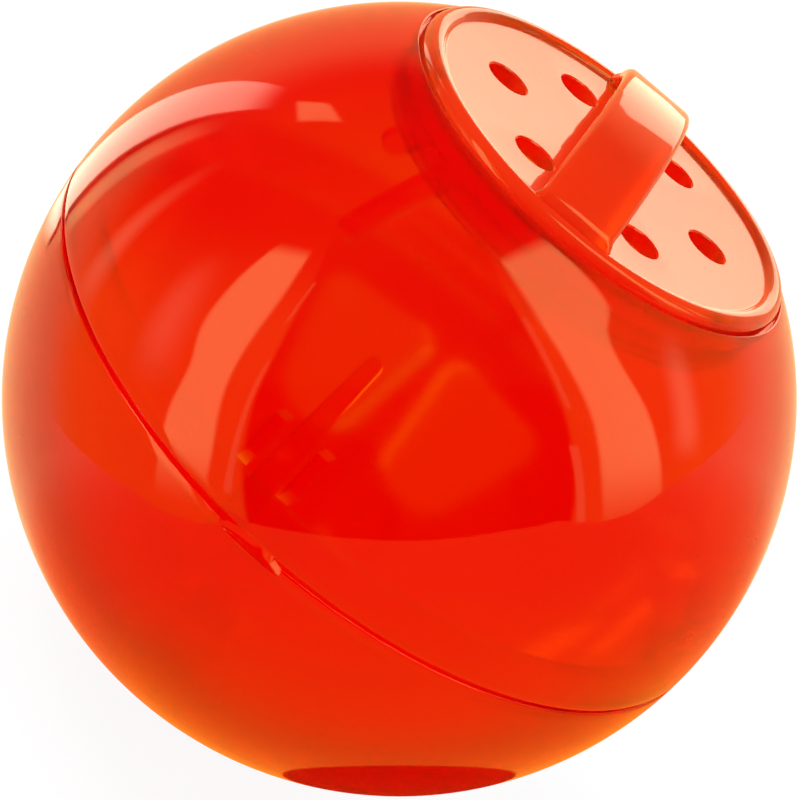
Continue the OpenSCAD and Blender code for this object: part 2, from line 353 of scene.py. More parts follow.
def combine(piece, tools, operation):
    """Cuts the tools, which are clear of each other, from the piece or fuses them to it."""
    pick(tools[0])
    if len(tools) > 1:
        for tool in tools[1:]:
            tool.select_set(True)
        bpy.ops.object.join()
    pick(piece)
    bpy.ops.object.modifier_add(type="BOOLEAN")
    modifier = piece.modifiers[-1]
    modifier.operation = operation
    modifier.solver = "EXACT"
    modifier.object = tools[0]
    bpy.ops.object.modifier_apply(modifier=modifier.name)
    pick(tools[0])
    bpy.ops.object.delete()


def turned_copies(tool, turns):
    """Copies of a tool, each with its own mesh, at these angles round the axis in place of the tool."""
    copies = []
    for turn in turns:
        pick(tool)
        bpy.ops.object.duplicate(linked=False)
        copy = bpy.context.object
        copy.rotation_euler = (0, 0, turn)
        bpy.ops.object.transform_apply(rotation=True)
        copies.append(copy)
    pick(tool)
    bpy.ops.object.delete()
    return copies


def half_turn_pair(tool, turn):
    """Two copies of a tool, half a turn apart."""
    return turned_copies(tool, (turn, turn + math.pi))


def wall_strip(name, outer_r, inner_r, polars, widths, aside=0.0):
    """A strip of a spherical wall over these polar angles, with a width at each."""
    m = measures()
    obj = start_mesh(name, bpy.ops.mesh.primitive_plane_add, size=1, location=m.centre)
    bpy.ops.transform.resize(value=(outer_r - inner_r, widths[0], 1))
    bpy.ops.transform.translate(value=((outer_r + inner_r) / 2, aside, 0))
    for polar, width, last_polar, last_width in zip(polars[1:], widths[1:], polars, widths):
        bpy.ops.mesh.spin(steps=1, angle=last_polar - polar, center=m.centre, axis=(0, 1, 0))
        bpy.ops.transform.resize(value=(1, width / last_width, 1))
    bpy.ops.object.mode_set(mode="OBJECT")
    # The first section lies at 90 degrees from the pole until the strip is turned to its place
    obj.rotation_euler = Euler((0, polars[0] - math.pi / 2, 0))
    bpy.ops.object.transform_apply(rotation=True)
    bpy.ops.object.mode_set(mode="EDIT")
    close_up(obj)
    return obj


def strip_course(polar_from, polar_to, width_from, width_to, radius, round_ends):
    """Polar angles and widths of a strip with a round upper end, and a round lower end if there are two."""
    reach = width_from / 2 / radius
    leans = [math.pi / 2 * (k + 0.5) / RIB_END_STEPS for k in range(RIB_END_STEPS)]
    course = [(polar_from + reach * (1 - math.cos(lean)), width_from * math.sin(lean)) for lean in leans]
    body_steps = max(2, round((polar_to - polar_from) / (2 * ARC_STEP)))
    lower = polar_to - reach if round_ends == 2 else polar_to
    for k in range(body_steps + 1):
        share = k / body_steps
        course.append((polar_from + reach + (lower - polar_from - reach) * share,
                       width_from + (width_to - width_from) * share))
    if round_ends == 2:
        course += [(polar_to - reach * (1 - math.cos(lean)), width_to * math.sin(lean))
                   for lean in reversed(leans)]
    return zip(*course)


def windows(grow):
    """Cutters for the pair of feed windows, grown all round."""
    m = measures()
    cutters = []
    half_h = m.window_h / 2 + grow
    half_w = m.window_w / 2 + grow
    half_tip = m.window_tip_w / 2 + grow
    for side in (-1, 1):
        obj = start_mesh("window_cutter", bpy.ops.mesh.primitive_plane_add, size=2, location=m.centre)
        bpy.ops.transform.resize(value=(half_h, half_w, 1))
        select_vertices(obj, lambda p: p.x > 0)
        bpy.ops.transform.resize(value=(1, half_tip / half_w, 1))
        bpy.ops.mesh.select_all(action="SELECT")
        bpy.ops.mesh.bevel(affect="VERTICES", offset=m.window_corner_r + grow, segments=2 * CORNER_STEPS)
        bpy.ops.mesh.select_all(action="SELECT")
        bpy.ops.transform.translate(value=(0, 0, m.ball_r / 2))
        extrude(0, 0, m.ball_r)
        bpy.ops.object.mode_set(mode="OBJECT")
        obj.rotation_euler = Euler((0, m.window_polar, m.window_turn + side * m.window_pitch / 2))
        bpy.ops.object.transform_apply(rotation=True)
        bpy.ops.object.mode_set(mode="EDIT")
        close_up(obj)
        cutters.append(obj)
    return cutters


def finish(piece, body, material):
    """Smooth faces with crisp edges, the plastic, and the ties to the frame."""
    pick(piece)
    bpy.ops.object.shade_smooth_by_angle(angle=CRISP_ANGLE)
    piece.data.materials.clear()
    piece.data.materials.append(material)
    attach(piece, body)
    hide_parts(body)


def add_node(tree, kind, inputs=None, **settings):
    """A shader node with its settings, and its inputs given as values or as sockets to link from."""
    node = tree.nodes.new(kind)
    for key, value in settings.items():
        setattr(node, key, value)
    for key, value in (inputs or {}).items():
        if isinstance(value, bpy.types.NodeSocket):
            tree.links.new(value, node.inputs[key])
        else:
            node.inputs[key].default_value = value
    return node


def soft_change(tree, value, start, end, low_colour, high_colour):
    """A soft change from one colour to the other while the value goes from start to end."""
    share = add_node(tree, "ShaderNodeMapRange", {"Value": value, "From Min": start, "From Max": end},
                     interpolation_type="SMOOTHSTEP")
    return add_node(tree, "ShaderNodeMix", {"Factor": share.outputs["Result"], "A": low_colour,
                                            "B": high_colour}, data_type="RGBA").outputs["Result"]


def empty_material(name):
    """A new material with an empty node tree."""
    material = bpy.data.materials.new(name)
    material.use_nodes = True
    material.node_tree.nodes.clear()
    return material


def polypropylene(name, haze, stains):
    """Injection moulded polypropylene, clarified and dyed orange-red, out of a polished mould.

    The dye darkens what is seen through it with every millimetre, so one wall looks orange, two look red,
    and ribs and double walls show darker. The polished mould gives sharp reflections. Haze is the share
    of light that crystals in the plastic scatter, which looks milky. The stains tint the flow lines."""
    material = bpy.data.materials.get(name)
    if material:
        return material
    material = empty_material(name)
    tree = material.node_tree
    coords = add_node(tree, "ShaderNodeTexCoord").outputs["Object"]
    # Flow lines: slow bands of the melt, about 14 mm apart
    flow = add_node(tree, "ShaderNodeTexNoise", {"Vector": coords, "Scale": 1 / (14 * MM), "Detail": 3.0,
                                                 "Roughness": 0.5, "Distortion": 0.6})
    low, high = ([*linear(hex_colour), 1] for hex_colour in stains)
    base = add_node(tree, "ShaderNodeMix", {"Factor": flow.outputs["Fac"], "A": low, "B": high},
                    data_type="RGBA")
    # Handling scuffs: roughness varies over a few millimetres
    scuff = add_node(tree, "ShaderNodeTexNoise", {"Vector": coords, "Scale": 1 / (3 * MM), "Detail": 4.0})
    rough = add_node(tree, "ShaderNodeMapRange", {"Value": scuff.outputs["Fac"],
                                                  "To Min": 0.24, "To Max": 0.36})
    # Sink ripple: the wall is a few hundredths of a millimetre uneven over about 9 mm
    ripple = add_node(tree, "ShaderNodeTexNoise", {"Vector": coords, "Scale": 1 / (9 * MM), "Detail": 1.0})
    bump = add_node(tree, "ShaderNodeBump", {"Height": ripple.outputs["Fac"], "Strength": 0.5,
                                             "Distance": 0.05 * MM})
    # The coat has polypropylene's IOR of 1.5. The low IOR under it keeps thin walls from bending the view
    shader = add_node(tree, "ShaderNodeBsdfPrincipled", {
        "Base Color": base.outputs["Result"], "Roughness": rough.outputs["Result"],
        "Normal": bump.outputs["Normal"], "Coat Normal": bump.outputs["Normal"],
        "IOR": 1.06, "Transmission Weight": 1.0 - haze,
        "Coat Weight": 1.0, "Coat Roughness": 0.04, "Coat IOR": 1.5})
    dye, density = absorbed(bpy.context.scene.treat_ball_looks.plastic, measures().wall)
    volume = add_node(tree, "ShaderNodeVolumeAbsorption", {"Color": dye, "Density": density})
    add_node(tree, "ShaderNodeOutputMaterial", {"Surface": shader.outputs["BSDF"],
                                                "Volume": volume.outputs["Volume"]})
    return material


def clear_plastic():
    """The shells and the shutter: clarified, with hardly any haze."""
    return polypropylene("clarified_injection_moulded_polypropylene", 0.0, ("#FCEFE8", "#FFFFFF"))


def hazy_plastic():
    """The lid: the same polypropylene from a thicker, slower cooled moulding, a little milky."""
    return polypropylene("hazy_injection_moulded_polypropylene", 0.05, ("#FFA840", "#FFB850"))


def absorbed(kept, thickness):
    """Absorption colour and density of a plastic that lets this share of light through one thickness."""
    loss = [-math.log(max(share, 0.0001)) / thickness for share in kept]
    density = max(loss)
    return [*(1 - channel / density for channel in loss), 1], density


class TREATBALL_OT_upper_shell(Operator):
    """Half shell on the lid's side, with the mouth, collar, gussets, pads and prong guides"""
    bl_idname = "treatball.upper_shell"
    bl_label = "Upper shell"

    def execute(self, context):
        m = measures()
        out = Outline("upper_half_shell", m.ball_r, 0)
        skirt_z = m.tongue_h + m.bowl_gap
        skirt_r = on_ball(m.cavity_r, skirt_z)
        web_r = on_ball(m.cavity_r, m.web_z)
        out.arc(m.mouth_r, m.mouth_z)
        out.line((m.mouth_r, m.ledge_z), (m.bore_r, m.ledge_z), (m.bore_r, m.collar_z),
                 (m.collar_r, m.collar_z), (m.collar_r, m.web_z), (web_r, m.web_z))
        out.arc(skirt_r, skirt_z)
        out.line((m.cavity_r, skirt_z), (m.cavity_r, 0))
        out.close()
        out.round_off(NECK_ROUND, (m.collar_r, m.web_z), (web_r, m.web_z))
        out.round_off(EDGE_ROUND, (m.mouth_r, m.mouth_z), (m.bore_r, m.ledge_z))
        out.round_off(THIN_WALL_ROUND, (m.bore_r, m.collar_z), (m.collar_r, m.collar_z))
        out.round_off(THIN_WALL_ROUND, (m.ball_r, 0))
        out.round_off(SEAM_ROUND, (m.cavity_r, 0))
        shell = out.revolve()

        top_polar = math.asin((m.collar_r - m.collar_t / 2) / (m.cavity_r - m.gusset_t))
        polars, widths = strip_course(math.pi - m.gusset_polar, math.pi - top_polar, m.gusset_w, m.gusset_w,
                                      m.cavity_r, 1)
        gusset = wall_strip("gusset", m.cavity_r + BITE, m.cavity_r - m.gusset_t,
                            [math.pi - p for p in polars], widths)
        ribs = half_turn_pair(gusset, m.gusset_turn)
        pad = wall_strip("pad", m.cavity_r + BITE, m.cavity_r - m.pad_t,
                         *strip_course(m.pad_polar_from, m.pad_polar_to, m.pad_w, m.pad_w, m.cavity_r, 2))
        ribs += half_turn_pair(pad, m.pad_turn)

        guide_end_polar = math.acos((m.tongue_h + 2 * m.bowl_gap) / m.cavity_r)
        guide_steps = 5
        polars = [m.guide_polar + (guide_end_polar - m.guide_polar) * k / guide_steps
                  for k in range(guide_steps + 1)]
        for side in (-1, 1):
            aside = side * (m.prong_root_w / 2 + m.guide_gap + m.guide_w / 2)
            guide = wall_strip("prong_guide", m.cavity_r + BITE, m.prong_r - m.bowl_t, polars,
                               [m.guide_w] * len(polars), aside=aside)
            ribs += half_turn_pair(guide, m.prong_turn)
        combine(shell, ribs, "UNION")
        finish(shell, "upper_shell", clear_plastic())
        return {"FINISHED"}


class TREATBALL_OT_lower_shell(Operator):
    """Other half shell, with the seam's band and tongue, pry notch, feed windows and pivot stub"""
    bl_idname = "treatball.lower_shell"
    bl_label = "Lower shell"

    def execute(self, context):
        m = measures()
        head_z = m.hub_top_z + m.bowl_gap
        band_r = m.ball_r - m.band_in
        tongue_out = m.cavity_r - m.fit_gap
        tongue_in = tongue_out - m.tongue_t
        stub_foot_z = -on_ball(m.cavity_r, m.stub_r)
        root_r = on_ball(m.cavity_r, m.tongue_root_h)
        shoulder_r = on_ball(m.ball_r, m.band_h)
        band_low_r = on_ball(band_r, m.band_h)
        band_top_r = on_ball(band_r, m.seam_gap)
        out = Outline("lower_half_shell", 0, head_z + m.stub_head_h)
        out.line((m.stub_r, head_z + m.stub_head_h), (m.stub_r + m.stub_head_out, head_z),
                 (m.stub_r, head_z), (m.stub_r, stub_foot_z))
        out.arc(root_r, -m.tongue_root_h)
        out.line((tongue_in, -m.tongue_root_h), (tongue_in, m.tongue_h), (tongue_out, m.tongue_h),
                 (tongue_out, -m.seam_gap), (band_top_r, -m.seam_gap), (band_low_r, -m.band_h),
                 (shoulder_r, -m.band_h))
        out.arc(0, -m.ball_r)
        merge_all()
        out.round_off(THIN_WALL_ROUND, (tongue_in, -m.tongue_root_h), (tongue_in, m.tongue_h),
                      (tongue_out, m.tongue_h))
        out.round_off(THIN_WALL_ROUND, (shoulder_r, -m.band_h))
        out.round_off(SEAM_ROUND, (band_top_r, -m.seam_gap))
        shell = out.revolve()

        notch_depth = m.notch_h + m.band_h
        notch_place = (m.ball_r - m.notch_in + m.notch_r, 0, m.ball_r - notch_depth / 2)
        notch = start_mesh("pry_notch", bpy.ops.mesh.primitive_cylinder_add, vertices=192, radius=m.notch_r,
                           depth=notch_depth, location=notch_place)
        floor_z = m.ball_r - notch_depth
        select_vertices(notch, lambda p: p.z < floor_z + SAME)
        bpy.ops.mesh.bevel(affect="EDGES", offset=EDGE_ROUND, segments=CORNER_STEPS)
        close_up(notch)
        combine(shell, turned_copies(notch, (m.notch_turn,)), "DIFFERENCE")
        combine(shell, windows(0), "DIFFERENCE")
        finish(shell, "lower_shell", clear_plastic())
        return {"FINISHED"}


class TREATBALL_OT_shutter(Operator):
    """Inner bowl with the same windows, a hub on the stub and two prongs that reach into the upper shell"""
    bl_idname = "treatball.shutter"
    bl_label = "Shutter bowl"

    def execute(self, context):
        m = measures()
        inner_r = m.bowl_r - m.bowl_t
        bore_r = m.stub_r + m.pivot_gap
        hub_r = m.stub_r + m.hub_t
        lip_out = on_ball(m.bowl_r, m.bowl_top_z)
        lip_in = on_ball(inner_r, m.bowl_top_z)
        out = Outline("shutter_bowl", lip_out, m.bowl_top_z)
        out.arc(bore_r, -on_ball(m.bowl_r, bore_r))
        out.line((bore_r, m.hub_top_z), (hub_r, m.hub_top_z), (hub_r, -on_ball(inner_r, hub_r)))
        out.arc(lip_in, m.bowl_top_z)
        out.close()
        out.round_off(BOWL_ROUND, (lip_out, m.bowl_top_z), (lip_in, m.bowl_top_z), (hub_r, m.hub_top_z))
        bowl = out.revolve()

        prong = wall_strip("prong", m.prong_r, m.prong_r - m.bowl_t,
                           *strip_course(m.prong_polar, m.prong_root_polar, m.prong_tip_w, m.prong_root_w,
                                         m.prong_r, 1))
        combine(bowl, half_turn_pair(prong, m.prong_turn), "UNION")
        combine(bowl, windows(m.window_grow), "DIFFERENCE")
        finish(bowl, "shutter", clear_plastic())
        return {"FINISHED"}


class TREATBALL_OT_lid(Operator):
    """Vented lid: floor, round rim, plug and strap grip in one moulding"""
    bl_idname = "treatball.lid"
    bl_label = "Lid"

    def execute(self, context):
        m = measures()
        rim_r = m.rim_w / 2
        rim = (m.lid_r - rim_r, m.crest_z - rim_r)
        foot_z = m.ledge_z + m.seat_gap
        under_z = m.floor_z - m.floor_t
        rim_foot_r = rim[0] - math.sqrt(rim_r ** 2 - (m.floor_z - rim[1]) ** 2)
        out = Outline("vented_lid", 0, m.floor_z)
        out.line((rim_foot_r, m.floor_z))
        out.arc(m.lid_r, rim[1], about=rim, step=RIM_STEP)
        out.line((m.lid_r, foot_z), (m.plug_r, foot_z), (m.plug_r, m.collar_z),
                 (m.plug_r - m.plug_t, m.collar_z), (m.plug_r - m.plug_t, under_z), (0, under_z))
        merge_all()
        out.round_off(EDGE_ROUND, (rim_foot_r, m.floor_z), (m.plug_r - m.plug_t, under_z))
        out.round_off(PLUG_ROUND, (m.lid_r, foot_z), (m.plug_r, m.collar_z),
                      (m.plug_r - m.plug_t, m.collar_z))
        lid = out.revolve()
        combine(lid, [self.grip(m)], "UNION")
        combine(lid, turned_copies(self.vent(m), [math.tau * k / VENTS for k in range(VENTS)]), "DIFFERENCE")
        finish(lid, "lid", hazy_plastic())
        return {"FINISHED"}

    def grip(self, m):
        """The strap: a rounded section swept along an arch and bent into a flared foot at each end."""
        half_w = m.grip_w / 2
        inner = m.grip_r - m.grip_t
        foot_y = m.lid_r - m.rim_w - m.grip_t / 4
        lean = math.asin(foot_y / m.grip_mid_r)
        out = Outline("strap_grip", -half_w, inner)
        out.line((half_w, inner), (half_w, m.grip_r), (-half_w, m.grip_r))
        out.close()
        out.round_off(min(m.grip_edge_r, 0.45 * m.grip_t),
                      (-half_w, inner), (half_w, inner), (half_w, m.grip_r), (-half_w, m.grip_r))
        bpy.ops.mesh.select_all(action="SELECT")
        bpy.ops.mesh.edge_face_add()
        bend = math.pi / 2 - lean
        widening = (1 + m.foot_flare / m.grip_w) ** (1 / BEND_STEPS)
        for side in (1, -1):
            # Back to the section at the top of the arch
            if side < 0:
                select_vertices(out.obj, lambda p: abs(p.y) < SAME)
            bpy.ops.mesh.spin(steps=ARCH_STEPS, angle=side * lean, center=m.centre, axis=(1, 0, 0))
            outwards = Vector((0, side * math.sin(lean), math.cos(lean)))
            pivot = m.centre + outwards * (m.grip_mid_r - FOOT_BEND_R)
            for _ in range(BEND_STEPS):
                bpy.ops.mesh.spin(steps=1, angle=side * bend / BEND_STEPS, center=pivot, axis=(1, 0, 0))
                bpy.ops.transform.resize(value=(widening, 1, 1))
            drop = pivot.z - (m.ball_r + m.floor_z - BITE)
            extrude(0, 0, -drop)
        close_up(out.obj)
        return out.obj

    def vent(self, m):
        """Cutter for one vent hole, flared where it meets the floor."""
        depth = m.floor_t + OVER
        top = m.ball_r + m.floor_z - VENT_FLARE
        obj = start_mesh("vent_cutter", bpy.ops.mesh.primitive_cylinder_add, vertices=48,
                         radius=m.vent_d / 2, depth=depth, location=(0, 0, top - depth / 2))
        select_vertices(obj, lambda p: p.z > top - SAME)
        for rise, grow in ((VENT_FLARE, 1 + 2 * VENT_FLARE / m.vent_d), (OVER, 1)):
            extrude(0, 0, rise)
            bpy.ops.transform.resize(value=(grow, grow, 1))
        bpy.ops.mesh.select_all(action="SELECT")
        bpy.ops.transform.translate(value=(m.vent_pcd / 2, 0, 0))
        close_up(obj)
        return obj


# The photo's view: the camera's place round the ball, its roll, and how the ball fills the frame
VIEW_AZIMUTH = math.radians(-3.5)
VIEW_ELEVATION = math.radians(26.5)
VIEW_ROLL = math.radians(41.5)
VIEW_DISTANCE = 250.8 * MM
VIEW_LENS = 116.7
VIEW_SHIFT = (0.0009, -0.00125)


def view_axes():
    """Directions to the photo's right, to its top and back to its camera."""
    back = Vector((math.cos(VIEW_ELEVATION) * math.sin(VIEW_AZIMUTH),
                   -math.cos(VIEW_ELEVATION) * math.cos(VIEW_AZIMUTH), math.sin(VIEW_ELEVATION)))
    level = Vector((math.cos(VIEW_AZIMUTH), math.sin(VIEW_AZIMUTH), 0))
    rise = back.cross(level)
    right = math.cos(VIEW_ROLL) * level + math.sin(VIEW_ROLL) * rise
    up = math.cos(VIEW_ROLL) * rise - math.sin(VIEW_ROLL) * level
    return right, up, back


def studio_point(azimuth, elevation, distance):
    """A place in the studio: degrees right of the camera and degrees up, seen from the ball's centre."""
    right, up, back = view_axes()
    azimuth, elevation = math.radians(azimuth), math.radians(elevation)
    level = math.sin(azimuth) * right + math.cos(azimuth) * back
    return measures().centre + distance * (math.cos(elevation) * level + math.sin(elevation) * up)


def reflected_only(obj):
    """Hides a stage object from all but the reflections in the ball."""
    obj.visible_camera = False
    obj.visible_diffuse = False
    obj.visible_shadow = False
    obj.visible_transmission = False


def reflector(name, rows, strength, hex_colour, fades, distance=1200 * MM):
    """A softbox or card that only reflections see, through the ends of its rows.

    It fades in over a share of its width at the sides and of its height at its lower and upper edge."""
    last = len(rows) - 1
    obj = start_mesh(name, bpy.ops.mesh.primitive_grid_add, x_subdivisions=1, y_subdivisions=last, size=2,
                     location=(0, 0, 0))
    for k, row in enumerate(rows):
        for x, azimuth, elevation in ((-1, *row[:2]), (1, *row[2:])):
            home = Vector((x, 2 * k / last - 1, 0))
            select_vertices(obj, lambda p: (p - home).length < SAME)
            bpy.ops.transform.translate(value=studio_point(azimuth, elevation, distance) - home)
    bpy.ops.object.mode_set(mode="OBJECT")
    bpy.ops.object.modifier_add(type="SUBSURF")
    modifier = obj.modifiers[-1]
    modifier.levels = 3
    modifier.boundary_smooth = "PRESERVE_CORNERS"
    bpy.ops.object.modifier_apply(modifier=modifier.name)
    material = empty_material(name)
    tree = material.node_tree
    uv = add_node(tree, "ShaderNodeTexCoord").outputs["UV"]
    split = add_node(tree, "ShaderNodeSeparateXYZ", {"Vector": uv})
    side, lower, upper = fades
    shown = 1.0
    for axis, start, end in (("X", 0, side), ("X", 1, 1 - side), ("Y", 0, lower), ("Y", 1, 1 - upper)):
        fade = add_node(tree, "ShaderNodeMapRange", {
            "Value": split.outputs[axis], "From Min": start, "From Max": end, "To Min": 0.0, "To Max": 1.0},
            interpolation_type="SMOOTHSTEP")
        shown = add_node(tree, "ShaderNodeMath", {0: fade.outputs["Result"], 1: shown},
                         operation="MULTIPLY").outputs[0]
    glow = add_node(tree, "ShaderNodeEmission", {"Color": [*linear(hex_colour), 1], "Strength": strength})
    clear = add_node(tree, "ShaderNodeBsdfTransparent")
    mix = add_node(tree, "ShaderNodeMixShader", {"Fac": shown, 1: clear.outputs[0], 2: glow.outputs[0]})
    add_node(tree, "ShaderNodeOutputMaterial", {"Surface": mix.outputs[0]})
    obj.data.materials.append(material)
    reflected_only(obj)


# Brightness of the mirrored room, of the white seen through the ball, and of the fill on matt faces
ROOM_LEVEL = 1.4
THROUGH_LEVEL = 0.9
FILL_LEVEL = 0.8
# Where the room's colours change, by how far a direction points up or towards the camera, from -1 to 1
TABLE_TO_WHITE = (0.045, 0.09)
WALLS_TO_CEILING = (0.25, 0.75)
HORIZON_TO_BACKDROP = (0.1, 0.5)
BACKDROP_TO_WALLS = (-0.55, -0.2)

# Softboxes and cards of the studio: name, rows from below with degrees right of the camera and degrees up of
# their left and right ends, strength, colour, shares that fade in at the sides, below and above, distance
STRIP = "#FFE48C"
WALL = "#FFD890"
REFLECTORS = (
    ("left_strip_softbox", ((-77, -21, -61, -27), (-69, -9, -52, -14), (-66, -1, -49, -3),
     (-58, 9, -46, 6), (-60, 16, -40, 15), (-52, 28, -32, 28), (-40, 41, -28, 40)), 3.7, STRIP,
     (0.1, 0.2, 0.06)),
    ("left_strip_frame_lower", ((-53, -23, -50, -24), (-46, -10, -44, -10), (-43, -3, -41, -3),
     (-36, 10, -34, 11)), 1.4, STRIP, (0.2, 0.04, 0.04)),
    ("left_strip_frame_upper", ((-33, 19, -31, 20), (-28, 27, -27, 27), (-26, 31, -25, 31)), 1.4, STRIP,
     (0.2, 0.04, 0.04)),
    ("right_strip_softbox", ((67, -34, 86, -25), (58, -19, 80, -14), (53, -4, 73, -3), (45, 9, 63, 8),
     (39, 19, 60, 17), (37, 23, 66, 20), (34, 30, 59, 30), (31, 37, 51, 42)), 3.7, STRIP,
     (0.1, 0.2, 0.06)),
    ("right_strip_frame_lower", ((57, -34, 61, -34), (51, -20, 54, -20), (47, -11, 50, -11)), 1.4, STRIP,
     (0.15, 0.1, 0.04)),
    ("right_strip_frame_upper", ((46, -3, 48, -3), (38, 12, 40, 12), (34, 21, 36, 21)), 1.3, STRIP,
     (0.2, 0.04, 0.04)),
    ("left_back_softbox", ((-164, 8, -144, 14), (-155, 23, -138, 27), (-148, 37, -131, 39),
     (-139, 53, -121, 53), (-125, 67, -107, 66)), 3.2, "#FFE0C0", (0.05, 0.06, 0.2)),
    ("left_back_bar", ((-144, 14, -141, 14), (-138, 27, -134, 28), (-131, 39, -127, 40),
     (-121, 53, -117, 54), (-106, 66, -103, 67)), 0.1, "#FF8A38", (0.2, 0.04, 0.1)),
    ("left_back_glow", ((-141, 14, -131, 18), (-134, 28, -123, 32), (-127, 40, -113, 46),
     (-117, 54, -104, 60)), 1.8, WALL, (0.3, 0.2, 0.5), 1300 * MM),
    ("left_wall_glow", ((-118, 10, -100, 8), (-109, 27, -95, 29), (-99, 42, -87, 44), (-92, 56, -82, 56)),
     1.6, WALL, (0.5, 0.3, 0.7), 1500 * MM),
    ("left_wall_card", ((-84, 2, -62, 0), (-80, 18, -58, 20), (-68, 36, -50, 38)), 1.7, WALL,
     (0.5, 0.4, 0.5), 2000 * MM),
    ("zenith_card", ((-113, 69, -86, 69), (-100, 77, -56, 77)), 2.4, WALL, (0.15, 0.15, 0.2)),
    ("right_wall_glow", ((81, -14, 96, -12), (78, -2, 92, 0), (73, 14, 86, 17)), 2.4, WALL,
     (0.5, 0.3, 0.4), 1500 * MM),
    ("right_back_softbox", ((163, 18, 131, 18), (163, 44, 131, 44)), 3.6, "#FFDCB4", (0.06, 0.06, 0.06)),
    ("camera_flag", ((-50, -52, 58, -52), (-50, -28, 57, -28), (-43, -3, 47, -2), (-35, 11, 39, 12),
     (-27, 30, 32, 28), (-24, 45, 29, 45)), 0.0, "#000000", (0.04, 0.02, 0.04), 3000 * MM),
)


# Tones of the table: the painted contact shadow, then painted orange light and shade from the ball near it
# and about 60 mm away, and the table far away
TABLE_TONES = ("#AE230A", "#FF8E2C", "#FF7C3C", "#FFBE84")
# Distances from the ball's foot over which the near, middle and far tones change
NEAR_TO_MIDDLE = (30 * MM, 60 * MM)
MIDDLE_TO_FAR = (60 * MM, 240 * MM)
# The contact shadow's soft edge, how far it lies towards the camera, and the table's depth below the foot
SHADOW_EDGE = (11.8 * MM, 12.2 * MM)
SHADOW_FORWARD = 3 * MM
TABLE_DROP = 0.5 * MM

# Right half of the table's outline: millimetres to the right of the ball's foot, and towards the camera
TABLE_EDGE = ((10, 69), (30, 68), (50, 65), (62, 54), (82, 46), (115, 38), (205, -2), (600, -220),
              (3000, -1800), (3000, -5000))

# The floor's radius, and the share of its white that doesn't change with the lamps
FLOOR_R = 600 * MM
FLOOR_OWN_WHITE = 0.92

# The overhead softbox: degrees right of the camera, degrees up and distance, diameter, and power in watts
KEY_PLACE = (-20, 70, 700 * MM)
KEY_D = 500 * MM
KEY_WATTS = 6


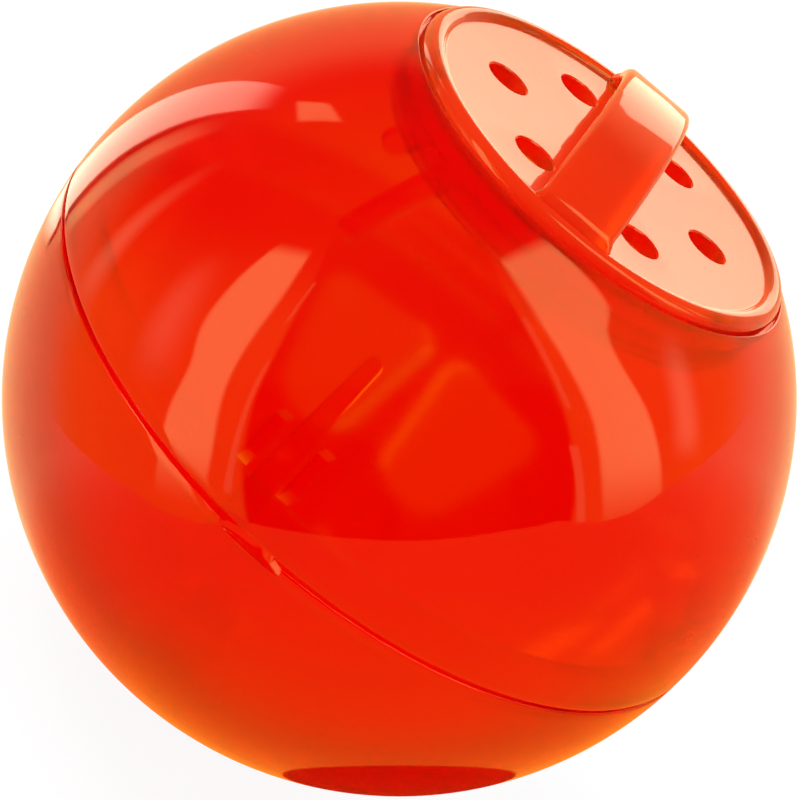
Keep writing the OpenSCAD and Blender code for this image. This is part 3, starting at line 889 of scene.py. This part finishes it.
class TREATBALL_OT_studio(Operator):
    """White floor and backdrop, soft light, softboxes to mirror, and the camera at the photo's angle"""
    bl_idname = "treatball.studio"
    bl_label = "Studio"

    def execute(self, context):
        self.camera(context)
        self.world(context)
        self.floor(context)
        self.key_light()
        for settings in REFLECTORS:
            reflector(*settings)
        self.table()
        return {"FINISHED"}

    def camera(self, context):
        """The camera at the photo's angle, which is rolled because the photo's ball lies tilted."""
        right, up, back = view_axes()
        turn = Matrix((right, up, back)).transposed().to_4x4()
        deselect_all()
        bpy.ops.object.camera_add()
        camera = context.object
        camera.name = "photo_camera"
        camera.matrix_world = Matrix.Translation(measures().centre + VIEW_DISTANCE * back) @ turn
        camera.data.lens = VIEW_LENS
        camera.data.sensor_width = 36
        camera.data.sensor_fit = "HORIZONTAL"
        camera.data.shift_x, camera.data.shift_y = VIEW_SHIFT
        camera.data.clip_start = 0.01
        context.scene.camera = camera
        context.scene.view_settings.view_transform = "Standard"

    def world(self, context):
        """White behind the ball, white through it above the horizon and the table's painted red shade from
        the ball below it, a soft fill for matt light, and a room that it mirrors.
        """
        world = bpy.data.worlds.new("studio_world")
        world.use_nodes = True
        context.scene.world = world
        tree = world.node_tree
        tree.nodes.clear()
        looks = context.scene.treat_ball_looks
        up, back = view_axes()[1:]
        direction = add_node(tree, "ShaderNodeTexCoord").outputs["Generated"]
        rise, front = (add_node(tree, "ShaderNodeVectorMath", {0: direction, 1: axis},
                                operation="DOT_PRODUCT").outputs["Value"] for axis in (up, back))
        light_path = add_node(tree, "ShaderNodeLightPath")
        outside = add_node(tree, "ShaderNodeMath", {0: light_path.outputs["Transmission Depth"], 1: 0.5},
                           operation="LESS_THAN")
        reflected = add_node(tree, "ShaderNodeMath", {0: light_path.outputs["Is Glossy Ray"],
                                                      1: outside.outputs[0]}, operation="MULTIPLY")
        matt = add_node(tree, "ShaderNodeMath", {0: light_path.outputs["Diffuse Depth"], 1: 0.5},
                        operation="GREATER_THAN")
        walls, horizon, backdrop, ceiling = (
            [*(ROOM_LEVEL * channel for channel in shade), 1]
            for shade in (looks.walls, looks.horizon, looks.backdrop, looks.ceiling))
        through, fill = ([level, level, level, 1] for level in (THROUGH_LEVEL, FILL_LEVEL))
        # Seen through the ball: the table's painted red shade below the horizon, white above it
        sky = soft_change(tree, rise, *TABLE_TO_WHITE, [*looks.red_shade, 1], through)
        room = soft_change(tree, rise, *WALLS_TO_CEILING, walls, ceiling)
        behind = soft_change(tree, rise, *HORIZON_TO_BACKDROP, horizon, backdrop)
        room = soft_change(tree, front, *BACKDROP_TO_WALLS, behind, room)
        for factor, seen in ((reflected.outputs[0], room), (matt.outputs[0], fill),
                             (light_path.outputs["Is Camera Ray"], (1, 1, 1, 1))):
            sky = add_node(tree, "ShaderNodeMix", {"Factor": factor, "A": sky, "B": seen},
                           data_type="RGBA").outputs["Result"]
        background = add_node(tree, "ShaderNodeBackground", {"Color": sky})
        add_node(tree, "ShaderNodeOutputWorld", {"Surface": background.outputs[0]})

    def floor(self, context):
        """Matt white paper: an even white without gloss, with the ball's faint shadow."""
        deselect_all()
        bpy.ops.mesh.primitive_circle_add(vertices=128, radius=FLOOR_R, fill_type="NGON", location=(0, 0, 0))
        floor = context.object
        floor.name = "studio_floor"
        material = empty_material("matt_white_paper")
        tree = material.node_tree
        white = [*context.scene.treat_ball_looks.floor, 1]
        shade = add_node(tree, "ShaderNodeBsdfDiffuse", {"Color": white})
        glow = add_node(tree, "ShaderNodeEmission", {"Strength": 1.0})
        mix = add_node(tree, "ShaderNodeMixShader", {"Fac": FLOOR_OWN_WHITE, 1: shade.outputs[0],
                                                     2: glow.outputs[0]})
        add_node(tree, "ShaderNodeOutputMaterial", {"Surface": mix.outputs[0]})
        floor.data.materials.append(material)
        floor.visible_glossy = False
        floor.visible_transmission = False
        # The floor goes down with the lower half when the halves are pulled apart, and never hides it
        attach(floor, "lower_shell")

    def table(self):
        """The photo's table top as the ball mirrors it, in the ball's own light and contact shadow."""
        right, up, back = view_axes()
        m = measures()
        foot = m.centre - m.ball_r * up
        table = start_mesh("table_card", bpy.ops.mesh.primitive_circle_add, vertices=2 * len(TABLE_EDGE),
                           radius=1, fill_type="NGON", location=(0, 0, 0))
        corners = [*TABLE_EDGE, *((-x, y) for x, y in reversed(TABLE_EDGE))]
        homes = [vertex.co.copy() for vertex in table.data.vertices]
        for home, (x, y) in zip(homes, corners):
            goal = foot - TABLE_DROP * up + x * MM * right + y * MM * back
            select_vertices(table, lambda p: (p - home).length < SAME)
            bpy.ops.transform.translate(value=goal - home)
        bpy.ops.object.mode_set(mode="OBJECT")
        # Tones by distance: the painted contact shadow ends sharply, and the near and middle tones, painted
        # light and shade from the ball, pass softly into each other and into the far tone
        material = empty_material("table_card")
        tree = material.node_tree
        place = add_node(tree, "ShaderNodeNewGeometry").outputs["Position"]
        away, from_shadow = (add_node(tree, "ShaderNodeVectorMath", {0: place, 1: point},
                                      operation="DISTANCE").outputs["Value"]
                             for point in (foot, foot + SHADOW_FORWARD * back))
        shadow, near, middle, far = ([*linear(hex_colour), 1] for hex_colour in TABLE_TONES)
        shade = soft_change(tree, away, *NEAR_TO_MIDDLE, near, middle)
        shade = soft_change(tree, away, *MIDDLE_TO_FAR, shade, far)
        shade = soft_change(tree, from_shadow, *SHADOW_EDGE, shadow, shade)
        glow = add_node(tree, "ShaderNodeEmission", {"Color": shade, "Strength": ROOM_LEVEL})
        add_node(tree, "ShaderNodeOutputMaterial", {"Surface": glow.outputs[0]})
        table.data.materials.append(material)
        reflected_only(table)

    def key_light(self):
        """One large soft lamp high over the ball, which makes the floor's shadow."""
        deselect_all()
        bpy.ops.object.light_add(type="AREA", location=studio_point(*KEY_PLACE))
        lamp = bpy.context.object
        lamp.name = "overhead_softbox"
        lamp.rotation_euler = (lamp.location - measures().centre).to_track_quat("Z", "Y").to_euler()
        lamp.data.shape = "DISK"
        lamp.data.size = KEY_D
        lamp.data.energy = KEY_WATTS
        lamp.visible_camera = False
        lamp.visible_glossy = False
        lamp.visible_transmission = False


class TREATBALL_PT_panel(Panel):
    """Sizes, colours and pieces of the treat dispensing ball"""
    bl_idname = "TREATBALL_PT_panel"
    bl_label = "Treat Dispensing Ball"
    bl_space_type = "VIEW_3D"
    bl_region_type = "UI"
    bl_category = "Treat Ball"

    def draw(self, context):
        scene = context.scene
        for group in (scene.treat_ball, scene.treat_ball_neck, scene.treat_ball_lid,
                      scene.treat_ball_shutter, scene.treat_ball_looks):
            box = self.layout.box()
            box.label(text=group.bl_rna.description)
            for key in group.__annotations__:
                box.prop(group, key)
        for operator in PIECES:
            self.layout.operator(operator.bl_idname)


GROUPS = (
    ("treat_ball", BallSizes),
    ("treat_ball_neck", NeckSizes),
    ("treat_ball_lid", LidSizes),
    ("treat_ball_shutter", ShutterSizes),
    ("treat_ball_looks", Looks),
)
PIECES = (TREATBALL_OT_studio, TREATBALL_OT_upper_shell, TREATBALL_OT_lower_shell, TREATBALL_OT_shutter,
          TREATBALL_OT_lid)


def register():
    for name, group in GROUPS:
        bpy.utils.register_class(group)
        setattr(bpy.types.Scene, name, PointerProperty(type=group))
    for operator in PIECES:
        bpy.utils.register_class(operator)
    bpy.utils.register_class(TREATBALL_PT_panel)


def unregister():
    bpy.utils.unregister_class(TREATBALL_PT_panel)
    for operator in reversed(PIECES):
        bpy.utils.unregister_class(operator)
    for name, group in reversed(GROUPS):
        delattr(bpy.types.Scene, name)
        bpy.utils.unregister_class(group)


def main():
    register()
    bpy.ops.treatball.studio()
    bpy.ops.treatball.upper_shell()
    bpy.ops.treatball.lower_shell()
    bpy.ops.treatball.shutter()
    bpy.ops.treatball.lid()


if __name__ == "__main__":
    main()
